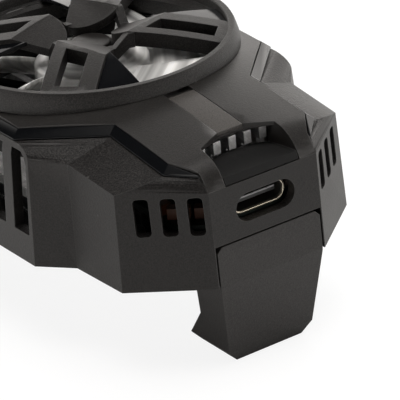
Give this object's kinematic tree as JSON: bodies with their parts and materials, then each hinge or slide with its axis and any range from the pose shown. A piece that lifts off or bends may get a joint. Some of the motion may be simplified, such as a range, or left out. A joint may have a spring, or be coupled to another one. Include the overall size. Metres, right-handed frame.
{
  "type": "clip-on phone cooling fan",
  "caption": "Clip-on thermoelectric phone cooler: faceted black housing with a domed pinwheel fan guard, slotted air outlets, a cable port and two sprung sliding claws.",
  "frame": {"origin": "centre of the cooling face that presses on the phone", "axes": "+Z out of the phone, up along the fan's axis; -Y towards the face with the cable port; X across, square to the claws' travel"},
  "size_m": [0.0474, 0.084, 0.0374],
  "materials": {
    "housing_black": "fine sand-blasted texture",
    "claw_black": "fine sand-blasted texture",
    "cover_black": "satin, fine sand-blasted texture",
    "guard_black": "satin",
    "gloss_black": "polished",
    "inlay_black": "satin gloss",
    "fan_plastic": "satin, translucent smoke black",
    "frame_plastic": "matte",
    "steel": "bright",
    "black_steel": "blackened",
    "magnet": "matte",
    "bronze": "sintered",
    "copper": "enamelled wire",
    "board_green": "solder mask",
    "chip_black": "moulded",
    "tantalum_orange": "moulded",
    "choke_brown": "matte",
    "sink_aluminium": "clear anodised",
    "plate_aluminium": "satin",
    "ceramic": "alumina white",
    "module_alloy": "bismuth telluride grey",
    "foam": "closed-cell foam",
    "pad_silicone": "soft silicone",
    "port_metal": "pale gold plated",
    "lead_red": "silicone sleeve",
    "lead_black": "silicone sleeve",
    "grip_rubber": "soft, matte",
    "guide_plastic": "matte"
  },
  "bodies": {
    "cooler": {"lower_housing": "housing_black", "base_plate": "housing_black", "upper_cover": "cover_black", "fan_guard": "guard_black", "left_trim_band": "gloss_black", "right_trim_band": "gloss_black", "guard_plates": "gloss_black", "front_inlay_strip": "inlay_black", "rear_inlay_strip": "inlay_black", "fan_frame": "frame_plastic", "fan_bearing": "bronze", "stator_core": "steel", "stator_coils": "copper", "motor_board": "board_green", "frame_screws": "steel", "heat_sink": "sink_aluminium", "hot_ceramic": "ceramic", "cold_ceramic": "ceramic", "module_legs": "module_alloy", "foam_gasket": "foam", "cold_plate": "plate_aluminium", "thermal_pad": "pad_silicone", "control_board": "board_green", "board_chips": "chip_black", "tantalum_capacitors": "tantalum_orange", "choke": "choke_brown", "usb_shell": "port_metal", "usb_tongue": "chip_black", "red_lead": "lead_red", "black_lead": "lead_black", "fan_lead": "lead_black", "front_claw_guide": "guide_plastic", "rear_claw_guide": "guide_plastic", "guide_screws": "steel", "front_spring": "steel", "rear_spring": "steel", "base_screws": "black_steel"},
    "fan": {"fan_impeller": "fan_plastic", "rotor_cup": "steel", "rotor_magnet": "magnet", "fan_shaft": "steel"},
    "front_clamp": {"front_claw": "claw_black", "front_claw_grip": "grip_rubber"},
    "rear_clamp": {"rear_claw": "claw_black", "rear_claw_grip": "grip_rubber"}
  },
  "joints": [
    {"name": "fan_spin", "type": "hinge", "parent": "cooler", "child": "fan", "pos_m": [0, 0, 0.015], "axis": [0, 0, 1], "continuous": true},
    {"name": "front_claw_slide", "type": "slide", "parent": "cooler", "child": "front_clamp", "axis": [0, -1, 0], "range_m": [0, 0.01], "stiffness_N_per_m": 400, "springref_m": -0.005, "deforming": ["front_spring"]},
    {"name": "rear_claw_slide", "type": "slide", "parent": "cooler", "child": "rear_clamp", "axis": [0, 1, 0], "range_m": [0, 0.01], "stiffness_N_per_m": 400, "springref_m": -0.005, "deforming": ["rear_spring"]}
  ]
}
